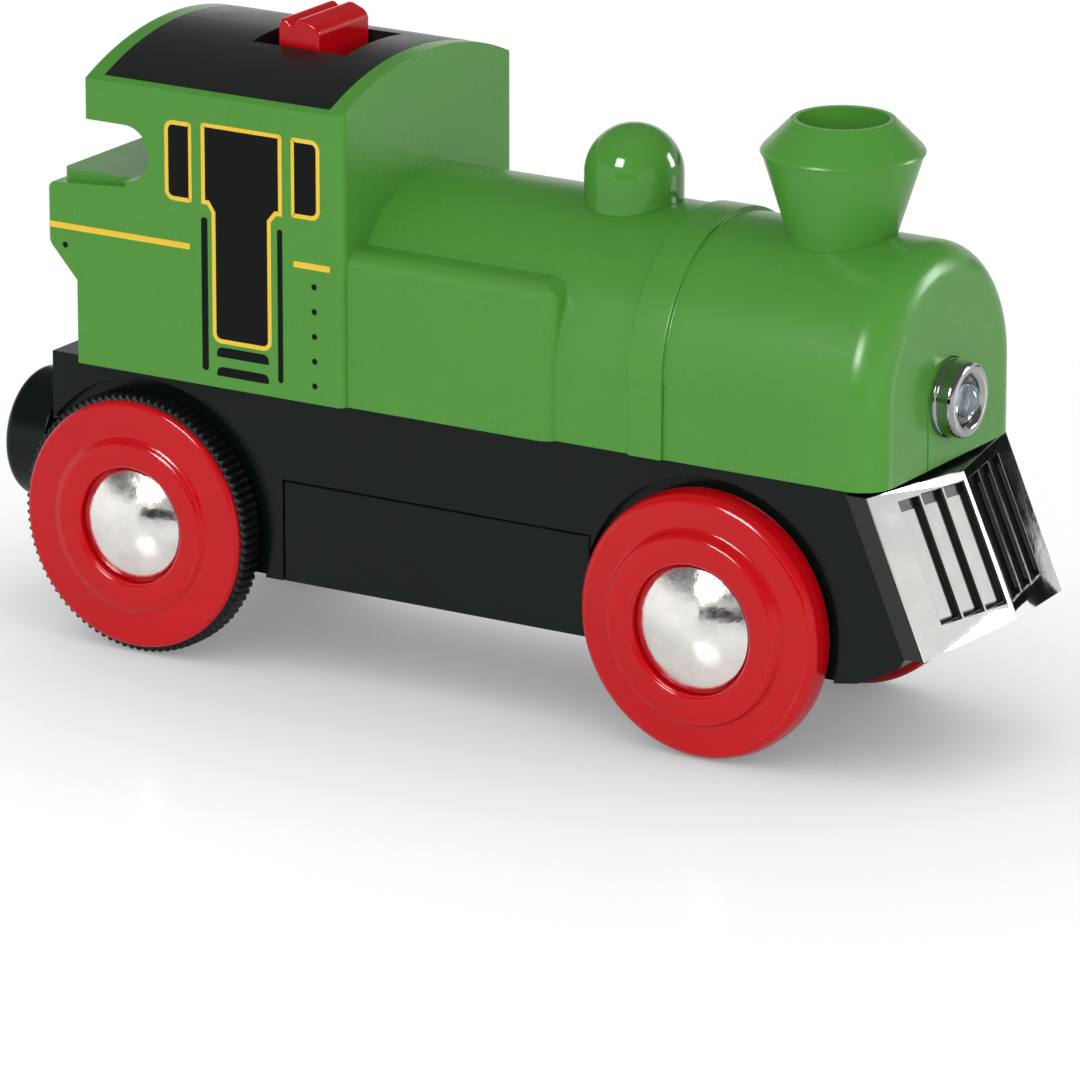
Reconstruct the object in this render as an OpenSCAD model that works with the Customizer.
// Battery-powered toy train locomotive for wooden track.
// +X is forward, +Y is the left side, Z = 0 is the surface the wheels stand on.
// Lengths along X are given from the rear axle; at_axle() moves them into the part's frame.

/* [Wheels and axles] */
// Distance between the axles
wheelbase = 58.5; // [58.4:0.1:71]
// Wheel radius over the tread or tyre
wheel_r = 12; // [10.8:0.1:14.4]
// Half the width over the wheels' hubs
wheel_face_y = 15.4; // [15:0.1:18.5]
// How far a front wheel's hub stands proud of its rim
boss_h = 1; // [0.6:0.1:1]
// How far a rear wheel's hub stands proud of its rim
rear_boss_h = 0.5; // [0.3:0.1:0.5]
// Height of a hub cap's dome
cap_rise = 1.6; // [1:0.1:2]
// Width of a front wheel
wheel_w = 3.9; // [3:0.1:4]
// Distance from the rear wheel's hub face to the tyre
rim_w = 1.1; // [1:0.1:2]
// How far the rear disc stays inside the tyre's radius
tyre_lip = 0.6; // [0.1:0.05:0.6]
// Thickness of the rubber tyre
tyre_t = 1.3; // [0.8:0.1:1.6]
// Radius of the steel axles
axle_r = 1; // [0.8:0.05:1.2]
// Radial running clearance of axles, pins and shafts
running_fit = 0.06; // [0.02:0.01:0.1]
// Radius of the hub hole in a rear wheel
rear_hub_r = 5.4; // [4.5:0.1:6]
// Radius of the hub hole in a front wheel
front_hub_r = 5.9; // [4.5:0.1:6]

/* [Chassis] */
// Half the width of the chassis
chassis_half_w = 11.9; // [11.9:0.1:12.2]
// Underside of the chassis above the track
chassis_z = 8.4; // [7:0.1:9]
// Gap between the wheels' tops and the body's underside
wheel_gap = 2; // [1.6:0.1:3]
// Chassis length behind the rear axle
tail_len = 10.4; // [9.6:0.1:12.5]
// Thickness of the chassis floor
floor_t = 1.2; // [1:0.1:1.4]
// Gap between a wheel and its arch
arch_gap = 0.9; // [0.6:0.1:1.2]
// Gap between the battery cover's side panel and the front wheel
cover_gap = 0.2; // [0.2:0.1:2]
// Height of the battery cover's side panel
cover_h = 9.3; // [7:0.1:11]

/* [Body] */
// Half the width of the cab
cab_half_w = 14; // [13.2:0.1:16.8]
// Distance from the rear axle to the cab's front wall
cab_front = 22.2; // [21:0.1:26.6]
// Distance from the rear axle back to the cab's lower rear wall
cab_rear = 6.1; // [5.8:0.1:7.3]
// How far the bunker overhangs that wall
bunker_out = 3.3; // [2.4:0.1:4]
// Roof overhang behind the rear axle
roof_rear = 4.9; // [4.4:0.1:6]
// Height of the eaves above the deck
cab_h = 26.4; // [25:0.1:32]
// Rise of the roof from eave to crown
roof_rise = 3.2; // [2.5:0.1:4]
// Radius of the boiler and the smokebox
boiler_r = 12.5; // [12.2:0.1:13]
// Height of the boiler's axis above the deck
boiler_up = 6.7; // [5.6:0.1:8]
// Smokebox front ahead of the front axle
nose_len = 16.7; // [16:0.1:18]
// Radius of the smokebox's front edge
nose_fillet = 3; // [2:0.1:4]
// Wall thickness of the body
shell_t = 1.6; // [1.3:0.1:2]
// Length of the side tanks
tank_len = 21.2; // [17:0.1:25]
// Half the width over the side tanks
tank_half_w = 13.3; // [13:0.1:13.8]
// Height of the side tanks above the deck
tank_h = 14.1; // [11:0.1:16]
// Width of the raised boiler band
band_w = 3.4; // [2:0.1:4]

/* [Boiler fittings] */
// Dome centre ahead of the cab's front wall
dome_ahead = 21.3; // [17:0.1:24]
// Radius of the steam dome
dome_r = 4.4; // [3.6:0.1:5.2]
// Height of the dome above the boiler's crown
dome_h = 6.6; // [5.6:0.1:8]
// Chimney centre ahead of the front axle
chimney_ahead = 6; // [4.8:0.1:7]
// Radius of the chimney at its widest
chimney_r = 7.2; // [6:0.1:8]
// Height of the chimney above the boiler's crown
chimney_h = 9.9; // [8:0.1:12]
// Radius of the chimney's mouth
mouth_r = 4; // [3.2:0.1:4.4]
// Height of the headlight above the deck
lamp_up = 5.8; // [5.2:0.1:6.6]
// Radius of the headlight bezel
lamp_r = 3.5; // [3:0.05:4]

/* [Cowcatcher] */
// Half the width of the cowcatcher
plough_half_w = 12.2; // [12:0.1:14]
// Thickness of the cowcatcher
plough_t = 2; // [1.6:0.1:2.4]
// Border between the cowcatcher's side and its panes
pane_margin = 3.6; // [2:0.1:5]
// Depth of the cowcatcher's panes
pane_depth = 0.6; // [0.4:0.1:1.2]
// Width of a bar between two panes
bar_w = 0.5; // [0.4:0.1:0.9]

/* [Switch and coupling] */
// Length of the roof slot
slot_len = 10; // [8:0.1:11]
// Half the width of the roof slot
slot_half_w = 4.7; // [4:0.1:5]
// Length of the switch button
button_len = 4.3; // [3.8:0.1:5]
// Switch travel each way from the middle
switch_travel = 2.2; // [1.8:0.1:2.4]
// Radius of the magnet drum
drum_r = 6.1; // [5:0.1:6.6]
// Length of the magnet drum
drum_len = 4.7; // [4:0.1:5.5]
// Swing of the coupling each way, in degrees
coupler_swing = 12; // [8:1:12]
// Distance from the rear axle to the magnet drum's face
coupler_reach = 20.3; // [19:0.1:24]

/* [Battery and drive] */
// Radius of the AA cell
cell_r = 7.2; // [7:0.05:7.25]
// Length of the AA cell
cell_len = 49.5; // [49.2:0.1:50.5]
// Thickness of the motor over its flats
motor_h = 10.1; // [8:0.1:10.4]
// Gear module
gear_m = 0.4; // [0.36:0.01:0.42]
// Thickness of one gear wheel
gear_w = 1.4; // [1.1:0.1:1.5]

/* [Hidden] */
$fn = 64;

// Places that follow from the sizes above
axle_z = wheel_r;
deck_z = 2 * wheel_r + wheel_gap;
eave_z = deck_z + cab_h;
smokebox_front = wheelbase + nose_len;
boiler_z = deck_z + boiler_up;
crown_z = boiler_z + boiler_r;
roof_z = eave_z + roof_rise;
roof_r = (cab_half_w * cab_half_w + roof_rise * roof_rise) / (2 * roof_rise);
roof_axis_z = roof_z - roof_r;
bunker_rear = cab_rear + bunker_out;
chimney_x = wheelbase + chimney_ahead;
dome_x = cab_front + dome_ahead;
lamp_z = deck_z + lamp_up;
tab_half_w = 3.5;
seam = 0.1;
inner_half_w = chassis_half_w - 2.05;
arch_y = chassis_half_w - 0.9;
arch_r = wheel_r + arch_gap;
wheel_in = wheel_face_y - wheel_w;
cap_depth = 1.2;
cap_skirt = 0.6;
cap_gap = 0.35;
led_front = smokebox_front + 0.7;
led_back = led_front - 6.5;

// Cab openings and bunker
soffit_z = eave_z - 3.75;
gap_r = 2.58;
gap_x = -0.8;
gap_z = soffit_z - gap_r;
bunker_z = gap_z - 3.7;
coal_z = soffit_z - 2 * gap_r;

// Cowcatcher face: a plane swept back from the middle and raked forward towards the track
plough_sweep = 0.22;
plough_rake = 0.43;
plough_top = deck_z - 0.4;
plough_apex = smokebox_front + 1.6;
apex_drop = 12.7;
side_drop = 1;
front_reach = plough_apex + plough_rake * apex_drop;
axle_x = (coupler_reach - front_reach) / 2;

// Battery bay
cell_z = chassis_z + floor_t + 0.2 + cell_r;
spring_len = 3.3;
contact_t = 0.4;
cell_x0 = axle_r + 5.2;
cell_x1 = cell_x0 + cell_len;
bay_wall = 1.1;
inner_deck_t = 1;
cover_x0 = arch_r + 1.5;
cover_x1 = wheelbase - wheel_r - cover_gap;

// Gear train: 12 teeth drive 30, 12 drive 30, 12 drive 28
pinion_n = 12;
wheel_n = 30;
axle_n = 28;
pressure = 25;
mesh_play = 0.05;
stage_c = gear_m * (pinion_n + wheel_n) / 2 + mesh_play;
last_c = gear_m * (pinion_n + axle_n) / 2 + mesh_play;
plane_a = 4.2;
plane_gap = 0.2;
plane_b = plane_a + gear_w + plane_gap;
plane_c = plane_b + gear_w + plane_gap;
cover_y = plane_c + gear_w + plane_gap;
plate_t = 0.8;
plate_x = -tail_len + 1.6;
plate_top = deck_z - 1.5;
spring_wall = cell_x0 - spring_len - contact_t - 1;
second_dir = 93.6;
first_dir = 71.4;
motor_dir = 17.9;
second_x = last_c * cos(second_dir);
second_z = axle_z + last_c * sin(second_dir);
first_x = second_x + stage_c * cos(first_dir);
first_z = second_z + stage_c * sin(first_dir);
motor_x = first_x + stage_c * cos(motor_dir);
motor_z = first_z + stage_c * sin(motor_dir);
pin_r = 0.7;
motor_shaft_r = 0.5;
motor_r = 6;
inner_deck_z = motor_z - motor_h / 2 - inner_deck_t;
tab_z = inner_deck_z + 2;
ledge_t = 1.2;
motor_y0 = -inner_half_w + 0.2;
motor_y1 = plane_a - 1.2;

// Screws
screw_r = 0.85;
screw_head_r = 1.5;
screw_seat = deck_z - 6;
post_r = 2.3;
rear_screw = [-3.6, -7.5];
front_screw = [wheelbase + 10.9, 0];
cover_screw = [10.5, -8.7];

// Switch
slot_x = 11.6;
button_x = 11.2;
button_half_w = slot_half_w - 0.6;
slider_z = roof_z - 2.35;
slider_t = 1.2;
slider_half_len = 4.9;
board_top = slider_z - slider_t - 1.1;
board_t = 0.8;
board_x0 = 4.4;
board_x1 = 19.4;
board_half_w = 9.2;
board_inset = 1.6;

// Coupling
pivot_x = -5.5;
drum_z = axle_z + 2.2;
arm_half_w = 1.8;
arm_h = 3.2;
magnet_r = 4.2;

// ---------- shared shapes ----------

module at_axle() { translate([axle_x, 0, 0]) children(); }

module block(x0, x1, y0, y1, z0, z1) {
  translate([x0, y0, z0]) cube([x1 - x0, y1 - y0, z1 - z0]);
}

// A cylinder along X, Y or Z
module rod_x(y, z, r, x0, x1) { translate([x0, y, z]) rotate([0, 90, 0]) cylinder(r = r, h = x1 - x0); }
module rod_y(x, z, r, y0, y1) { translate([x, y1, z]) rotate([90, 0, 0]) cylinder(r = r, h = y1 - y0); }
module rod_z(x, y, r, z0, z1) { translate([x, y, z0]) cylinder(r = r, h = z1 - z0); }

// A flat outline in X and Z, thickened along Y
module across(y0, y1) { translate([0, y1, 0]) rotate([90, 0, 0]) linear_extrude(y1 - y0) children(); }
// A flat outline in Y and Z, thickened along X
module along(x0, x1) { translate([x0, 0, 0]) rotate([90, 0, 90]) linear_extrude(x1 - x0) children(); }
// A flat outline in X and Y, thickened upwards
module upward(z0, z1) { translate([0, 0, z0]) linear_extrude(z1 - z0) children(); }

module rounded_rect(x0, x1, y0, y1, r) {
  translate([x0 + r, y0]) square([x1 - x0 - 2 * r, y1 - y0]);
  translate([x0, y0 + r]) square([x1 - x0, y1 - y0 - 2 * r]);
  for (x = [x0 + r, x1 - r], y = [y0 + r, y1 - r]) translate([x, y]) circle(r);
}

// Profile turned about an axis along X: radius across, distance along X up
module turned_x(y, z) { translate([0, y, z]) rotate([0, 90, 0]) rotate_extrude() children(); }
// Profile turned about an axis along Y
module turned_y(x, z) { translate([x, 0, z]) rotate([-90, 0, 0]) rotate_extrude() children(); }

module mirrored_y(left) { if (left) children(); else mirror([0, 1, 0]) children(); }

// Involute gear outline
function involute(rb, t) = [rb * (cos(t) + t * PI / 180 * sin(t)), rb * (sin(t) - t * PI / 180 * cos(t))];
function turn(p, a) = [p[0] * cos(a) - p[1] * sin(a), p[0] * sin(a) + p[1] * cos(a)];
function roll_angle(rb, r) = sqrt(max(0, (r / rb) * (r / rb) - 1)) * 180 / PI;
function flank_angle(rb, r) = roll_angle(rb, r) - acos(min(1, rb / r));
function gear_points(n, m) =
  let (rp = m * n / 2, rb = rp * cos(pressure), ra = rp + m, rf = rp - 1.2 * m,
       half = 90 / n - 0.03 / rp * 180 / PI + flank_angle(rb, rp),
       t0 = roll_angle(rb, max(rb, rf)), t1 = roll_angle(rb, ra))
  [for (k = [0:n - 1]) each concat(
    [turn([rf, 0], 360 * k / n - half)],
    [for (s = [0:3]) turn(involute(rb, t0 + (t1 - t0) * s / 3), 360 * k / n - half)],
    [for (s = [3:-1:0]) let (p = involute(rb, t0 + (t1 - t0) * s / 3))
      turn([p[0], -p[1]], 360 * k / n + half)],
    [turn([rf, 0], 360 * k / n + half)])];

function gear_r(n) = gear_m * (n / 2 + 1);

// A gear about Y at (x, z); phase is the direction of a tooth in the X-Z plane
module gear_at(x, z, n, y0, phase) {
  across(y0, y0 + gear_w) translate([x, z]) rotate(phase) polygon(gear_points(n, gear_m));
}

// A block whose front follows the cowcatcher's face, set back by d0 to d1
function plough_x(y, z, d) = plough_apex - plough_sweep * abs(y) + plough_rake * (plough_top - z) - d;
module raked_block(y0, y1, top0, top1, bottom0, bottom1, d0, d1) {
  ys = [y0, y1];
  zs = [[bottom0, top0], [bottom1, top1]];
  pts = [for (d = [d1, d0], i = [0, 1], j = [0, 1]) [plough_x(ys[i], zs[i][j], d), ys[i], zs[i][j]]];
  polyhedron(pts, [[2, 3, 1, 0], [5, 7, 6, 4], [1, 5, 4, 0], [6, 7, 3, 2], [4, 6, 2, 0], [3, 7, 5, 1]]);
}
function plough_bottom(y) = plough_top - apex_drop - side_drop * abs(y) / plough_half_w;

// ---------- body ----------

module cab_outline() {
  difference() {
    polygon([
      [-cab_rear, deck_z], [cab_front, deck_z], [cab_front, roof_z + 1], [-roof_rear, roof_z + 1],
      [-roof_rear, soffit_z], [gap_x, soffit_z], [gap_x, bunker_z + 0.6], [-bunker_rear + 0.7, bunker_z],
      [-bunker_rear, bunker_z - 0.7], [-bunker_rear, bunker_z - 5.1], [-cab_rear, bunker_z - 8.7]]);
    translate([gap_x, gap_z]) circle(gap_r);
  }
}

module cab_section(half_w, r) {
  intersection() {
    translate([-half_w, deck_z - 1]) square([2 * half_w, roof_z - deck_z + 2]);
    translate([0, roof_axis_z]) circle(r, $fn = 180);
  }
}

module cab_outside() {
  intersection() {
    across(-cab_half_w, cab_half_w) cab_outline();
    along(-bunker_rear, cab_front) cab_section(cab_half_w, roof_r);
    upward(deck_z, roof_z + 1) rounded_rect(-bunker_rear, cab_front, -cab_half_w, cab_half_w, 0.8);
  }
}

module coal() {
  upward(bunker_z - 1.5, coal_z)
    rounded_rect(-bunker_rear + 1.1, gap_x + gap_r, -cab_half_w + 1.2, cab_half_w - 1.2, 0.8);
}

module cab_inside() {
  intersection() {
    across(-cab_half_w, cab_half_w) polygon([
      [-cab_rear + shell_t, deck_z - 1], [cab_front - shell_t, deck_z - 1],
      [cab_front - shell_t, roof_z], [gap_x + gap_r + shell_t, roof_z],
      [gap_x + gap_r + shell_t, coal_z - shell_t], [-bunker_rear + shell_t, coal_z - shell_t - 1],
      [-bunker_rear + shell_t, bunker_z - 4.2], [-cab_rear + shell_t, bunker_z - 7.9]]);
    along(-bunker_rear, cab_front) cab_section(cab_half_w - shell_t, roof_r - shell_t);
  }
}

module d_section(r) {
  translate([0, boiler_z]) circle(r);
  translate([-r, deck_z - 1]) square([2 * r, boiler_z - deck_z + 1]);
}

// Boiler and smokebox with a rounded front edge
module boiler_outside() {
  f = nose_fillet;
  along(cab_front - 1, smokebox_front - f) d_section(boiler_r);
  translate([0, 0, boiler_z]) rotate([0, 90, 0]) rotate_extrude() nose_profile(boiler_r);
  upward(deck_z, boiler_z)
    rounded_rect(smokebox_front - 3 * f, smokebox_front, -boiler_r, boiler_r, f);
}

module nose_profile(r) {
  f = nose_fillet;
  translate([0, smokebox_front - f - 1]) square([r, 1]);
  translate([0, smokebox_front - f - 1]) square([r - f, f + 1]);
  intersection() {
    translate([r - f, smokebox_front - f]) circle(f);
    translate([0, smokebox_front - 2 * f]) square([r, 2 * f]);
  }
}

module side_tanks() {
  intersection() {
    upward(deck_z, deck_z + tank_h)
      rounded_rect(cab_front - 4, cab_front + tank_len, -tank_half_w, tank_half_w, 1.6);
    across(-tank_half_w, tank_half_w)
      rounded_rect(cab_front - 4, cab_front + tank_len, deck_z - 4, deck_z + tank_h, 1.8);
    along(cab_front - 1, cab_front + tank_len)
      rounded_rect(-tank_half_w, tank_half_w, deck_z - 4, deck_z + tank_h, 1.5);
  }
}

module tab_outline(play) {
  translate([-tab_half_w - play, deck_z]) square([2 * (tab_half_w + play), lamp_up]);
  translate([0, lamp_z]) circle(tab_half_w + play);
}

module screw_boss(p, top) {
  difference() {
    rod_z(p[0], p[1], post_r, deck_z, top);
    rod_z(p[0], p[1], screw_r, deck_z - 1, deck_z + 3.3);
  }
}

module body_shell() {
  band_x = wheelbase - 7.8;
  color("forestgreen") at_axle() {
    difference() {
      union() {
        cab_outside();
        coal();
        boiler_outside();
        side_tanks();
        along(band_x, band_x + band_w) d_section(boiler_r + 0.35);
      }
      cab_inside();
      along(cab_front - 2 * shell_t, smokebox_front - shell_t) d_section(boiler_r - shell_t);
      upward(deck_z - 15, deck_z) square([300, 80], center = true);
      along(smokebox_front - 4, smokebox_front + 1) tab_outline(seam);
      block(slot_x - slot_len / 2, slot_x + slot_len / 2, -slot_half_w, slot_half_w, slider_z, roof_z + 1);
      rod_z(dome_x, 0, 2.5, crown_z - 4, crown_z + 2);
      rod_z(chimney_x, 0, 3.5, crown_z - 4, crown_z + 2);
    }
    screw_boss(rear_screw, deck_z + 9);
    difference() {
      union() {
        rod_z(front_screw[0], 0, post_r, deck_z, deck_z + 3.6);
        block(front_screw[0] - 0.6, front_screw[0] + 0.6, -boiler_r + 1, boiler_r - 1, deck_z, deck_z + 3.6);
      }
      rod_z(front_screw[0], 0, screw_r, deck_z - 1, deck_z + 3.3);
    }
    intersection() {
      union() for (x = [board_x0 + board_inset, board_x1 - board_inset], y = [-1, 1])
        difference() {
          rod_z(x, y * (board_half_w - board_inset), 1.3, board_top, roof_z);
          rod_z(x, y * (board_half_w - board_inset), 0.6, board_top - 1, board_top + 1.6);
        }
      along(0, cab_front) cab_section(cab_half_w - 1, roof_r - shell_t / 2);
    }
  }
}

module steam_dome() {
  z = crown_z + dome_h - dome_r;
  color("forestgreen") at_axle() difference() {
    union() {
      rod_z(dome_x, 0, dome_r, crown_z - 3, z);
      translate([dome_x, 0, z]) intersection() {
        sphere(dome_r);
        translate([0, 0, dome_r]) cube(2 * dome_r, center = true);
      }
      rod_z(dome_x, 0, 2.45, crown_z - 3.2, crown_z);
    }
    difference() {
      rod_x(0, boiler_z, boiler_r, dome_x - 8, dome_x + 8);
      rod_z(dome_x, 0, 2.45, crown_z - 3.2, crown_z + 1);
    }
  }
}

module chimney() {
  z0 = crown_z - 2.5;
  wide_z = crown_z + chimney_h - 2.9;
  top_z = crown_z + chimney_h;
  base_r = chimney_r - 2.4;
  rim_r = mouth_r + 0.5;
  color("forestgreen") at_axle() difference() {
    union() {
      translate([chimney_x, 0, 0]) rotate_extrude() polygon([
        [0, z0], [base_r, z0], [base_r, crown_z - 0.2], [chimney_r - 0.25, wide_z - 0.4],
        [chimney_r, wide_z], [chimney_r - 0.2, wide_z + 0.35], [rim_r, top_z], [0, top_z]]);
      rod_z(chimney_x, 0, 3.45, crown_z - 3.2, crown_z);
    }
    rod_z(chimney_x, 0, mouth_r, top_z - 6, top_z + 1);
    difference() {
      rod_x(0, boiler_z, boiler_r, chimney_x - 9, chimney_x + 9);
      rod_z(chimney_x, 0, 3.45, crown_z - 3.2, crown_z + 1);
    }
  }
}

module lamp_tab() {
  tab_front = smokebox_front + 0.1;
  color("forestgreen") at_axle() difference() {
    union() {
      along(smokebox_front - shell_t, tab_front) tab_outline(0);
      along(smokebox_front - 2 * shell_t, smokebox_front - shell_t) tab_outline(0.8);
    }
    rod_x(0, lamp_z, lamp_r - 0.75, smokebox_front - 4, smokebox_front + 1);
  }
}

module headlight_bezel() {
  x0 = smokebox_front + 0.1;
  color("silver") at_axle() turned_x(0, lamp_z) difference() {
    union() {
      translate([0, x0 - 1.7]) square([lamp_r - 0.8, 2]);
      translate([0, x0]) square([lamp_r, 0.5]);
      translate([0, x0]) square([lamp_r - 0.15, 2.1]);
    }
    translate([-1, x0 - 2]) square([1 + lamp_r - 1.35, 9]);
  }
}

module headlight_lens() {
  x0 = led_front;
  r = lamp_r - 1.4;
  ball = sqrt(r * r + 2.56);
  color("whitesmoke") at_axle() turned_x(0, lamp_z) difference() {
    union() {
      translate([0, x0]) square([r, 1.1]);
      intersection() {
        translate([0, x0 - 0.6]) circle(ball, $fn = 180);
        translate([0, x0 + 1]) square([r, 3]);
      }
    }
    translate([-1, x0 - 1]) square([2.25, 1.6]);
  }
}

module headlight_led() {
  x1 = led_front;
  color("lightyellow") at_axle() {
    rod_x(0, lamp_z, 1.2, x1 - 4, x1);
    rod_x(0, lamp_z, 1.6, x1 - 4.8, x1 - 4);
    for (s = [-0.6, 0.6]) rod_x(s, lamp_z, 0.2, led_back, x1 - 4.8);
  }
}

// ---------- chassis ----------

module chassis_side() {
  polygon([
    [-tail_len, deck_z], [-tail_len, chassis_z + 1.6], [-tail_len + 1.6, chassis_z],
    [wheelbase + 12.1, chassis_z], [wheelbase + 14.7, chassis_z + 0.4], [wheelbase + 16.5, chassis_z + 1.1],
    [plough_back(plough_bottom(plough_half_w)) - 0.6, plough_bottom(plough_half_w) - 1],
    [plough_back(plough_bottom(plough_half_w)), plough_bottom(plough_half_w)],
    [plough_back(plough_top), plough_top], [plough_back(plough_top), deck_z]]);
}

// Lower lip between the front wheels
module front_skirt() {
  polygon([[wheelbase + 7, chassis_z + 0.5], [wheelbase + 7.9, chassis_z - 1.5], [wheelbase + 10.5, chassis_z - 1.5],
    [wheelbase + 14.2, chassis_z - 0.2], [wheelbase + 17.5, chassis_z + 1.6], [wheelbase + 17.5, chassis_z + 3]]);
}

function pane_bottom(y) = plough_bottom(y) + 1.6 + 0.9 * abs(y) / plough_half_w;
function plough_back(z) = plough_x(plough_half_w, 0, plough_t) - plough_rake * z;

module chassis_posts() {
  rod_z(rear_screw[0], rear_screw[1], post_r, chassis_z, deck_z);
  rod_z(front_screw[0], front_screw[1], post_r, chassis_z + 0.2, deck_z);
  rod_z(cover_screw[0], cover_screw[1], 1.5, chassis_z + floor_t, cell_z);
  rod_z(pivot_x, 0, 2.2, chassis_z + floor_t, drum_z - arm_h / 2 - 0.15);
}

module chassis_frame() {
  hole_r = axle_r + running_fit;
  color("#25282a") at_axle() difference() {
    union() {
      difference() {
        across(-chassis_half_w, chassis_half_w) chassis_side();
        block(-tail_len + 1.4, wheelbase + 14.5, -inner_half_w, inner_half_w, chassis_z + floor_t, deck_z - ledge_t);
        block(0.5 - cab_rear, wheelbase + 14.5, -inner_half_w, inner_half_w, deck_z - ledge_t - 1, deck_z + 1);
        for (x = [0, wheelbase], side = [-1, 1])
          rod_y(x, axle_z, arch_r, side > 0 ? arch_y : -chassis_half_w - 1, side > 0 ? chassis_half_w + 1 : -arch_y);
      }
      across(3 - inner_half_w, inner_half_w - 3) front_skirt();
      chassis_posts();
      // Walls that carry the battery contacts
      block(spring_wall + 0.1, spring_wall + 1, -inner_half_w - 0.5, plane_a - plate_t - 0.5,
            axle_z + axle_r + 0.4, inner_deck_z);
      block(cell_x1 + contact_t, cell_x1 + contact_t + bay_wall,
            -inner_half_w - 0.5, inner_half_w + 0.5, chassis_z + floor_t / 2, inner_deck_z);
      // Casing under the axle gear
      intersection() {
        rod_y(0, axle_z, gear_r(axle_n) + 1.2, plane_c - 0.9, cover_y + 0.7);
        block(-10, 10, 0, 20, 0, chassis_z + floor_t);
      }
      // Battery cover screw's wall
      block(cover_screw[0] - 1.5, cover_screw[0] + 1.5, -inner_half_w - 0.5, cover_screw[1], chassis_z + floor_t, cell_z);
    }
    rod_y(0, axle_z, gear_r(axle_n) + 0.5, plane_c - 0.15, cover_y - 0.05);
    rod_x(0, cell_z, cell_r + 0.15, cell_x0 - 0.2, cell_x1);
    for (x = [0, wheelbase]) rod_y(x, axle_z, hole_r, -chassis_half_w - 1, chassis_half_w + 1);
    // Opening for the battery cover
    upward(chassis_z - 1, chassis_z + floor_t) bay_opening(0.1);
    block(cover_x0 - 0.1, cover_x1 + 0.1, -chassis_half_w - 1, chassis_half_w + 1,
          chassis_z - 1, chassis_z + cover_h + 0.1);
    // Screw holes
    for (p = [rear_screw, front_screw]) {
      rod_z(p[0], p[1], screw_head_r + 0.15, chassis_z - 2, screw_seat);
      rod_z(p[0], p[1], screw_r + 0.1, screw_seat - 1, deck_z + 1);
    }
    rod_z(cover_screw[0], cover_screw[1], screw_r, chassis_z, chassis_z + 6.5);
    // Coupling arm and its pin
    block(-tail_len - 1, -tail_len + 1.5, -3.1, 3.1, drum_z - arm_h / 2 - 0.4, drum_z + arm_h / 2 + 0.4);
    rod_z(pivot_x, 0, 1.1, chassis_z + 0.4, drum_z);
  }
}

module bay_opening(play) {
  x0 = gear_r(axle_n) + 1.3;
  y0 = cover_screw[1] - screw_head_r - 0.2;
  translate([x0 - play, -8 - play]) square([cell_x1 + 0.3 - x0 + 2 * play, 16 + 2 * play]);
  translate([cover_screw[0] - 2.4 - play, y0 - play]) square([4.8 + 2 * play, 5 + 2 * play]);
}

module inner_deck() {
  z0 = inner_deck_z;
  color("#34383b") at_axle() difference() {
    block(rear_screw[0] + post_r + 0.3, cell_x1 + contact_t + bay_wall, -inner_half_w + 0.1, inner_half_w - 0.1,
          z0, z0 + inner_deck_t);
    block(-tail_len + 1.5, first_x + gear_r(wheel_n) + 0.4, plane_a - plate_t - 0.35, inner_half_w, z0 - 1, z0 + 2);
    block(cell_x1 - 0.2, cell_x1 + contact_t + 0.1, 3.8, 6.2, z0 - 1, z0 + 2);
    block(cell_x0 - spring_len - contact_t - 0.2, cell_x0 - spring_len + 0.2, -3.3, -0.9, z0 - 1, z0 + 2);
  }
}

module battery_cover() {
  color("#25282a") at_axle() difference() {
    union() {
      upward(chassis_z, chassis_z + 1) bay_opening(0);
      block(cover_x0, cover_x1, -chassis_half_w, chassis_half_w, chassis_z, chassis_z + 1);
      for (s = [-1, 1]) block(cover_x0, cover_x1, s > 0 ? chassis_half_w - 1.5 : -chassis_half_w,
        s > 0 ? chassis_half_w : 1.5 - chassis_half_w, chassis_z, chassis_z + cover_h);
      for (x = [cover_x0 + 5, cover_x1 - 6])
        block(x, x + 1.2, -chassis_half_w + 1, chassis_half_w - 1, chassis_z + 0.5, chassis_z + 4.5);
    }
    rod_x(0, cell_z, cell_r + 0.05, 0, wheelbase);
    rod_z(cover_screw[0], cover_screw[1], screw_r + 0.15, chassis_z - 1, chassis_z + 2);
    rod_z(cover_screw[0], cover_screw[1], screw_head_r + 0.1, chassis_z - 1, chassis_z + 0.5);
  }
}

// A screw with its head's seat at z, pointing up; the head has a cross slot
module screw_up(p, seat, len) {
  difference() {
    union() {
      rod_z(p[0], p[1], screw_head_r, seat - 1, seat);
      rod_z(p[0], p[1], screw_r, seat, seat + len);
    }
    for (a = [0, 90]) translate([p[0], p[1], seat - 1]) rotate(a) cube([2, 0.4, 1], center = true);
  }
}

module battery_cover_screw() {
  color("silver") at_axle() intersection() {
    screw_up(cover_screw, chassis_z + 0.5, 5.5);
    block(0, 20, -20, 0, chassis_z + 0.05, chassis_z + 20);
  }
}

module body_screws() {
  color("silver") at_axle() for (p = [rear_screw, front_screw]) screw_up(p, screw_seat, deck_z - screw_seat + 3);
}

// ---------- cowcatcher ----------

// One half: swept face in front, flat against the chassis behind
module plough_blank() {
  w = plough_half_w;
  ends = [[-w, plough_bottom(w)], [0, plough_bottom(0)]];
  back = [for (e = ends) each [[plough_back(e[1]), e[0], e[1]], [plough_back(plough_top), e[0], plough_top]]];
  front = [for (e = ends) each [[plough_x(e[0], e[1], 0), e[0], e[1]],
                                [plough_x(e[0], plough_top, 0), e[0], plough_top]]];
  polyhedron(concat(back, front),
    [[2, 3, 1, 0], [5, 7, 6, 4], [1, 5, 4, 0], [6, 7, 3, 2], [4, 6, 2, 0], [3, 7, 5, 1]]);
}

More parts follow.
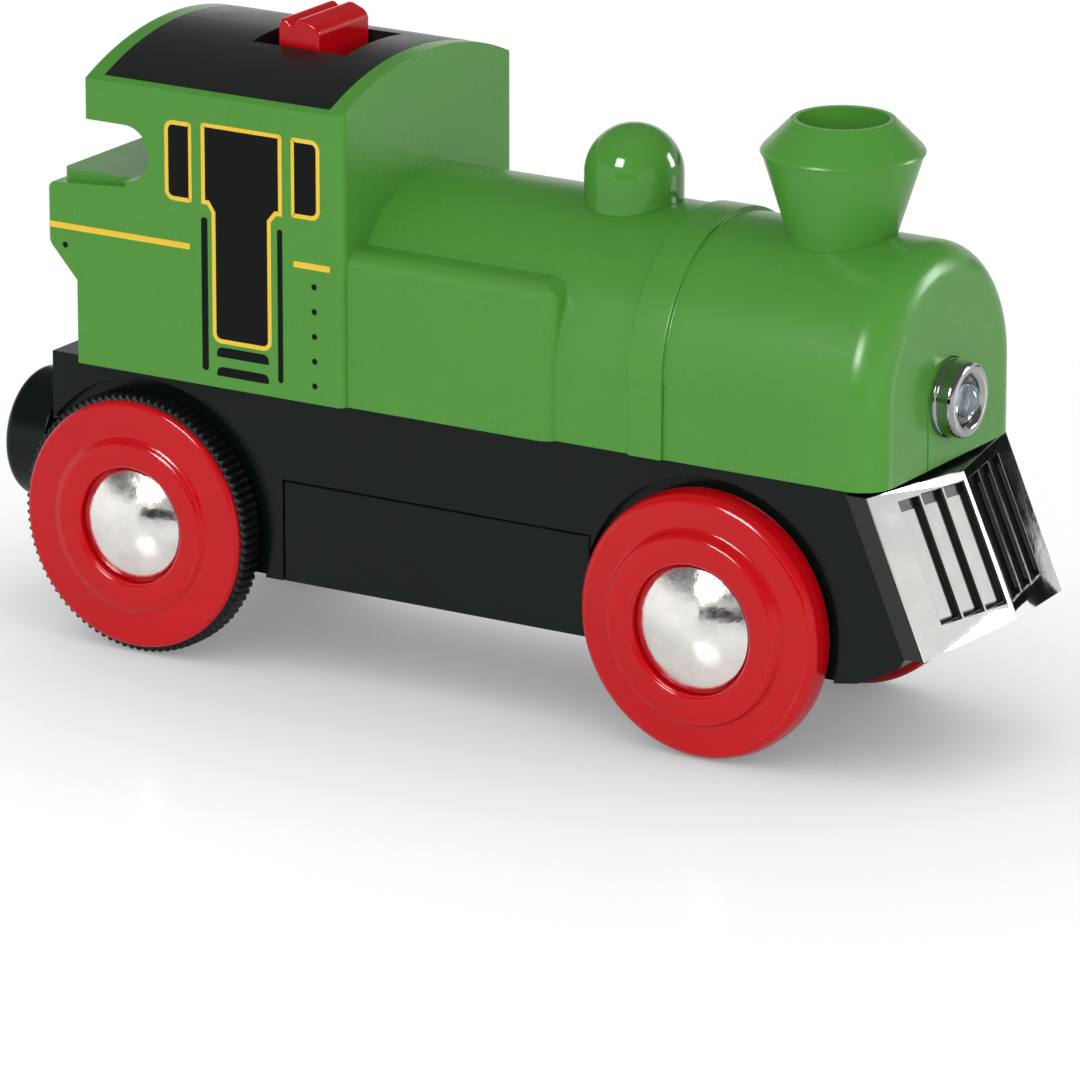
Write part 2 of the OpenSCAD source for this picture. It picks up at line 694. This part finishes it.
module plough_half() {
  w = plough_half_w;
  pane_y0 = pane_margin - w;
  pane_y1 = -0.6;
  pitch = (pane_y1 - pane_y0 + bar_w) / 3;
  difference() {
    plough_blank();
    for (i = [0:2]) {
      a = pane_y0 + i * pitch;
      b = a + pitch - bar_w;
      raked_block(a, b, plough_top - 1, plough_top - 1, pane_bottom(a), pane_bottom(b), -1, pane_depth);
    }
  }
}

module cowcatcher() {
  color("gainsboro") at_axle() {
    plough_half();
    mirror([0, 1, 0]) plough_half();
  }
}

// ---------- battery, motor and gears ----------

module battery_cell() {
  color("goldenrod") at_axle() {
    rod_x(0, cell_z, cell_r, cell_x0, cell_x1 - 1.2);
    rod_x(0, cell_z, 2.6, cell_x1 - 1.2, cell_x1);
  }
}

// The conical spring's wire, swept along its coil
spring_turns = 3;
spring_steps = 14;
function spring_at(s) =
  let (r = 4 - 1.8 * s, a = 360 * spring_turns * s)
  [cell_x0 - spring_len + 0.15 + (spring_len - 0.5) * s, r * cos(a), cell_z + r * sin(a)];
module spring_wire(r) {
  n = spring_turns * spring_steps;
  sides = 8;
  rings = [for (i = [0:n]) let (
      p = spring_at(i / n),
      q = spring_at((i + 0.5) / n) - spring_at((i - 0.5) / n),
      t = q / norm(q),
      u = cross(t, [1, 0, 0]) / norm(cross(t, [1, 0, 0])),
      v = cross(t, u))
    each [for (k = [0:sides - 1]) p + r * (cos(360 * k / sides) * u + sin(360 * k / sides) * v)]];
  faces = concat(
    [for (i = [0:n - 1], k = [0:sides - 1]) let (a = i * sides + k, b = i * sides + (k + 1) % sides)
      each [[b + sides, b, a], [a + sides, b + sides, a]]],
    [[for (k = [0:sides - 1]) k]],
    [[for (k = [sides - 1:-1:0]) n * sides + k]]);
  polyhedron(rings, faces);
}

module battery_spring() {
  x0 = cell_x0 - spring_len - contact_t;
  color("lightgray") at_axle() {
    block(x0, x0 + contact_t, -4.6, plane_a - plate_t - 1.1, cell_z - 3.4, inner_deck_z - 0.5);
    block(x0, x0 + contact_t, -3, -1.2, inner_deck_z - 1, tab_z);
    spring_wire(0.35);
  }
}

module battery_contact() {
  color("lightgray") at_axle() {
    block(cell_x1, cell_x1 + contact_t, -5, 5, cell_z - 4.5, inner_deck_z - 0.4);
    block(cell_x1, cell_x1 + contact_t, 4, 6, inner_deck_z - 1.5, tab_z);
  }
}

module motor_outline(grow) {
  intersection() {
    translate([motor_x, motor_z]) circle(motor_r + grow);
    translate([motor_x - 20, motor_z - motor_h / 2 - grow]) square([40, motor_h + 2 * grow]);
  }
}

module motor_can() {
  color("silver") at_axle() difference() {
    union() {
      across(motor_y0 + 1.6, motor_y1) motor_outline(0);
      rod_y(motor_x, motor_z, 2, motor_y1, motor_y1 + 0.6);
    }
    rod_y(motor_x, motor_z, motor_shaft_r + running_fit, motor_y1 - 4, motor_y1 + 1);
  }
}

module motor_end_cap() {
  color("ivory") at_axle() {
    across(motor_y0 + 0.4, motor_y0 + 1.6) motor_outline(0);
    for (s = [-1, 1]) block(motor_x + 3 * s - 0.6, motor_x + 3 * s + 0.6, motor_y0, motor_y0 + 0.5,
      motor_z - 1, motor_z + 1);
  }
}

module motor_clip() {
  z0 = inner_deck_z + inner_deck_t;
  color("#34383b") at_axle() difference() {
    block(motor_x - motor_r - 0.9, motor_x + motor_r + 0.9, -8.5, -3.5, z0, motor_z + motor_h / 2 + 0.9);
    across(-9, -3) motor_outline(0.05);
    block(motor_x - 4.5, motor_x + 4.5, -9, -3, z0 - 1, motor_z);
  }
}

module motor_pinion() {
  color("white") at_axle() {
    gear_at(motor_x, motor_z, pinion_n, plane_a, motor_dir + 180 + 180 / pinion_n);
    rod_y(motor_x, motor_z, motor_shaft_r, motor_y1 - 3.8, plane_a + gear_w);
  }
}

module first_gear() {
  color("white") at_axle() difference() {
    union() {
      gear_at(first_x, first_z, wheel_n, plane_a, motor_dir);
      gear_at(first_x, first_z, pinion_n, plane_b, first_dir + 180 + 180 / pinion_n);
      rod_y(first_x, first_z, 1.6, plane_a, cover_y - 0.1);
    }
    rod_y(first_x, first_z, pin_r + running_fit, plane_a - 1, cover_y + 1);
  }
}

module second_gear() {
  color("white") at_axle() difference() {
    union() {
      gear_at(second_x, second_z, wheel_n, plane_b, first_dir);
      gear_at(second_x, second_z, pinion_n, plane_c, second_dir + 180);
      rod_y(second_x, second_z, 1.6, plane_a - 0.1, plane_c);
    }
    rod_y(second_x, second_z, pin_r + running_fit, plane_a - 1, cover_y + 1);
  }
}

module axle_gear() {
  color("white") at_axle() difference() {
    union() {
      gear_at(0, axle_z, axle_n, plane_c, second_dir + 180 / axle_n);
      rod_y(0, axle_z, 2, plane_c - 0.1, cover_y - 0.1);
    }
    rod_y(0, axle_z, axle_r, plane_a, cover_y + 1);
  }
}

module gear_plate(y0, y1) {
  difference() {
    across(y0, y1) polygon([
      [plate_x, chassis_z + floor_t + 0.1], [spring_wall, chassis_z + floor_t + 0.1],
      [spring_wall, inner_deck_z + inner_deck_t], [first_x + 1.8, inner_deck_z + inner_deck_t],
      [first_x + 1.8, first_z + 2.4], [first_x - gear_r(wheel_n), first_z + 2.4],
      [first_x - gear_r(wheel_n), plate_top], [plate_x, plate_top]]);
    rod_y(0, axle_z, axle_r + 0.3, y0 - 1, y1 + 1);
    for (p = [[first_x, first_z], [second_x, second_z]]) rod_y(p[0], p[1], pin_r, y0 - 1, y1 + 1);
  }
}

module gear_frame() {
  y0 = plane_a - plate_t - 0.25;
  color("#34383b") at_axle() {
    gear_plate(y0, y0 + plate_t);
    for (z = [axle_z + 1.2, second_z + 2]) rod_y(plate_x + 0.7, z, 0.55, y0, cover_y);
  }
}

module gear_cover() {
  color("#34383b") at_axle() gear_plate(cover_y, cover_y + plate_t);
}

module gear_pins() {
  y0 = plane_a - plate_t - 0.25;
  color("silver") at_axle() for (p = [[first_x, first_z], [second_x, second_z]])
    rod_y(p[0], p[1], pin_r, y0, cover_y + plate_t);
}

// ---------- wheelsets ----------

module axle(x) { color("silver") at_axle() rod_y(x, axle_z, axle_r, cap_depth - wheel_face_y, wheel_face_y - cap_depth); }
module rear_axle() { axle(0); }
module front_axle() { axle(wheelbase); }

// Outer part of a wheel: a disc with a rounded rim, and a hub that stands proud of it; y grows outwards
module wheel_face(hub_w, r, back, rim_y, e) {
  polygon([[0, back], [r, back], [r, rim_y - e], [r - e, rim_y - e], [r - e, rim_y],
    [hub_w + 0.6, rim_y], [hub_w, wheel_face_y], [0, wheel_face_y]]);
  translate([r - e, rim_y - e]) intersection() {
    circle(e);
    square(e);
  }
}

// Takes the axle's bore and the hub cap's seat out of a wheel
module wheel_bore(hub_r) {
  difference() {
    children();
    translate([-1, 0]) square([1 + axle_r, 40]);
    translate([-1, wheel_face_y - cap_depth]) square([hub_r + 1, 5]);
  }
}

module front_wheel(left) {
  rim_y = wheel_face_y - boss_h;
  tread_y = rim_y - 1;
  color("crimson") at_axle() mirrored_y(left) turned_y(wheelbase, axle_z)
    wheel_bore(front_hub_r) union() {
      wheel_face(8.4, wheel_r - 0.15, tread_y - 0.1, rim_y, 0.8);
      translate([0, wheel_in]) square([wheel_r, tread_y - wheel_in]);
    }
}

module rear_wheel(left) {
  tyre_y = wheel_face_y - rim_w;
  color("crimson") at_axle() mirrored_y(left) turned_y(0, axle_z) wheel_bore(rear_hub_r) union() {
    wheel_face(7.6, wheel_r - tyre_lip, tyre_y, wheel_face_y - rear_boss_h, 0.45);
    translate([0, wheel_in + 0.1]) square([wheel_r - tyre_t, tyre_y - wheel_in]);
  }
}

module rear_tyre(left) {
  y0 = wheel_in + 0.1;
  y1 = wheel_face_y - rim_w;
  ribs = 72;
  color("#1c1e1f") at_axle() mirrored_y(left) difference() {
    rod_y(0, axle_z, wheel_r, y0, y1);
    rod_y(0, axle_z, wheel_r - tyre_t, y0 - 1, y1 + 1);
    for (i = [0:ribs - 1]) rotate_about(0, axle_z, 360 * (i + 0.5) / ribs)
      block(wheel_r - 0.3, wheel_r + 1, y0 - 1, y1 + 1, -0.2, 0.2);
  }
}

module rotate_about(x, z, a) { translate([x, 0, z]) rotate([0, a, 0]) children(); }

module hub_cap(x, hub_r, left) {
  y0 = wheel_face_y - cap_depth;
  r = hub_r - cap_gap;
  ball = (r * r + cap_rise * cap_rise) / (2 * cap_rise);
  color("silver") at_axle() mirrored_y(left) turned_y(x, axle_z) union() {
    translate([0, y0]) square([r, cap_skirt]);
    intersection() {
      translate([0, y0 + cap_skirt + cap_rise - ball]) circle(ball, $fn = 360);
      translate([0, y0 + cap_skirt / 2]) square([r, 5]);
    }
  }
}

// ---------- switch ----------

module button_outline() {
  h = button_len / 2;
  z0 = roof_z - 2;
  polygon([
    [-h, z0], [h, z0], [h, roof_z + 1.1], [h - 0.4, roof_z + 1.65], [0.5, roof_z + 2.15],
    [0, roof_z + 2.15], [-0.7, roof_z + 1.4], [-1.4, roof_z + 2], [-1.9, roof_z + 2], [-h, roof_z + 1.2]]);
}

module switch_button() {
  color("crimson") at_axle() union() {
    across(-button_half_w, button_half_w) translate([button_x, 0]) button_outline();
    block(button_x - button_len / 2, button_x + button_len / 2, -button_half_w, button_half_w,
          slider_z - 0.5, roof_z - 1);
    block(button_x - slider_half_len, button_x + slider_half_len, -slot_half_w - 0.9, slot_half_w + 0.9,
          slider_z - slider_t, slider_z);
  }
}

module switch_wiper() {
  z1 = slider_z - slider_t;
  color("goldenrod") at_axle() {
    block(button_x - 3, button_x + 3, -2.5, 2.5, z1 - 0.3, z1);
    for (s = [-1, 1]) block(button_x - 2.6, button_x + 2.6, 2 * s - 0.4, 2 * s + 0.4, board_top + 0.05, z1 - 0.3);
  }
}

module switch_board() {
  color("darkgreen") at_axle() difference() {
    block(board_x0, board_x1, -board_half_w, board_half_w, board_top - board_t, board_top);
    for (x = [board_x0 + board_inset, board_x1 - board_inset], y = [-1, 1])
      rod_z(x, y * (board_half_w - board_inset), 0.6, board_top - 2, board_top + 1);
  }
}

module board_screws() {
  z0 = board_top - board_t;
  color("silver") at_axle() for (x = [board_x0 + board_inset, board_x1 - board_inset], s = [-1, 1]) {
    y = s * (board_half_w - board_inset);
    rod_z(x, y, 1.1, z0 - 0.6, z0);
    rod_z(x, y, 0.6, z0, board_top + 1.5);
  }
}

// ---------- coupling ----------

module coupler_housing() {
  x0 = -coupler_reach;
  r = drum_r;
  color("#25282a") at_axle() difference() {
    union() {
      turned_x(0, drum_z) union() {
        translate([0, x0]) square([r - 1, drum_len]);
        translate([0, x0 + 1]) square([r, drum_len - 1]);
        translate([r - 1, x0 + 1]) circle(1);
        translate([0, x0 + drum_len]) square([3, 1.2]);
      }
      block(x0 + drum_len, pivot_x, -arm_half_w, arm_half_w, drum_z - arm_h / 2, drum_z + arm_h / 2);
      rod_z(pivot_x, 0, 2.2, drum_z - arm_h / 2, drum_z + arm_h / 2);
    }
    rod_x(0, drum_z, magnet_r, x0 - 1, x0 + 2.7);
    rod_z(pivot_x, 0, 1.1 + running_fit, drum_z - 5, drum_z + 5);
  }
}

module coupler_magnet() {
  color("silver") at_axle() rod_x(0, drum_z, magnet_r - 0.02, -coupler_reach + 0.2, -coupler_reach + 2.7);
}

module coupler_pin() {
  top = drum_z + arm_h / 2 + 0.15;
  color("silver") at_axle() {
    rod_z(pivot_x, 0, 1.1, chassis_z + 0.4, top);
    rod_z(pivot_x, 0, 1.9, top, top + 0.8);
  }
}

// ---------- wires ----------

// A wire that follows its points in straight runs along X, Y or Z
module wire(points, r) {
  for (i = [0:len(points) - 2]) {
    a = points[i];
    b = points[i + 1];
    d = b - a;
    l = norm(d);
    translate(a) rotate([0, acos(d[2] / l), atan2(d[1], d[0])]) cylinder(r = r, h = l, $fn = 16);
    if (i > 0) translate(a) sphere(r, $fn = 16);
  }
}

wire_r = 0.45;
wire_lift = crown_z - 7;

module wire_positive() {
  color("red") at_axle() wire([
    [cell_x1 + contact_t / 2, 5, tab_z], [cell_x1 + contact_t / 2, 5, wire_lift],
    [board_x1 - 3, 5, wire_lift], [board_x1 - 3, 5, board_top - board_t]], wire_r);
}

module wire_negative() {
  x0 = cell_x0 - spring_len - contact_t / 2;
  color("#222222") at_axle() wire([
    [x0, -2.1, tab_z], [x0, -2.1, wire_lift], [board_x0 + 3, -2.1, wire_lift],
    [board_x0 + 3, -2.1, board_top - board_t]], wire_r);
}

module lamp_wires() {
  x1 = led_back;
  color("white") at_axle() for (s = [-0.6, 0.6]) wire([
    [x1, s, lamp_z], [x1 - 1.2, s, lamp_z], [x1 - 1.2, s, wire_lift],
    [board_x1 - 1.5, s, wire_lift], [board_x1 - 1.5, s, board_top - board_t]], 0.3);
}

body_shell();
steam_dome();
chimney();
lamp_tab();
headlight_bezel();
headlight_lens();
headlight_led();
chassis_frame();
inner_deck();
battery_cover();
battery_cover_screw();
body_screws();
cowcatcher();
battery_cell();
battery_spring();
battery_contact();
motor_can();
motor_end_cap();
motor_clip();
motor_pinion();
gear_frame();
gear_cover();
gear_pins();
first_gear();
second_gear();
axle_gear();
rear_axle();
rear_wheel(true);  // rear_wheel_left
rear_wheel(false);  // rear_wheel_right
rear_tyre(true);  // rear_tyre_left
rear_tyre(false);  // rear_tyre_right
hub_cap(0, rear_hub_r, true);  // rear_hub_cap_left
hub_cap(0, rear_hub_r, false);  // rear_hub_cap_right
front_axle();
front_wheel(true);  // front_wheel_left
front_wheel(false);  // front_wheel_right
hub_cap(wheelbase, front_hub_r, true);  // front_hub_cap_left
hub_cap(wheelbase, front_hub_r, false);  // front_hub_cap_right
switch_button();
switch_wiper();
switch_board();
board_screws();
coupler_housing();
coupler_magnet();
coupler_pin();
wire_positive();
wire_negative();
lamp_wires();
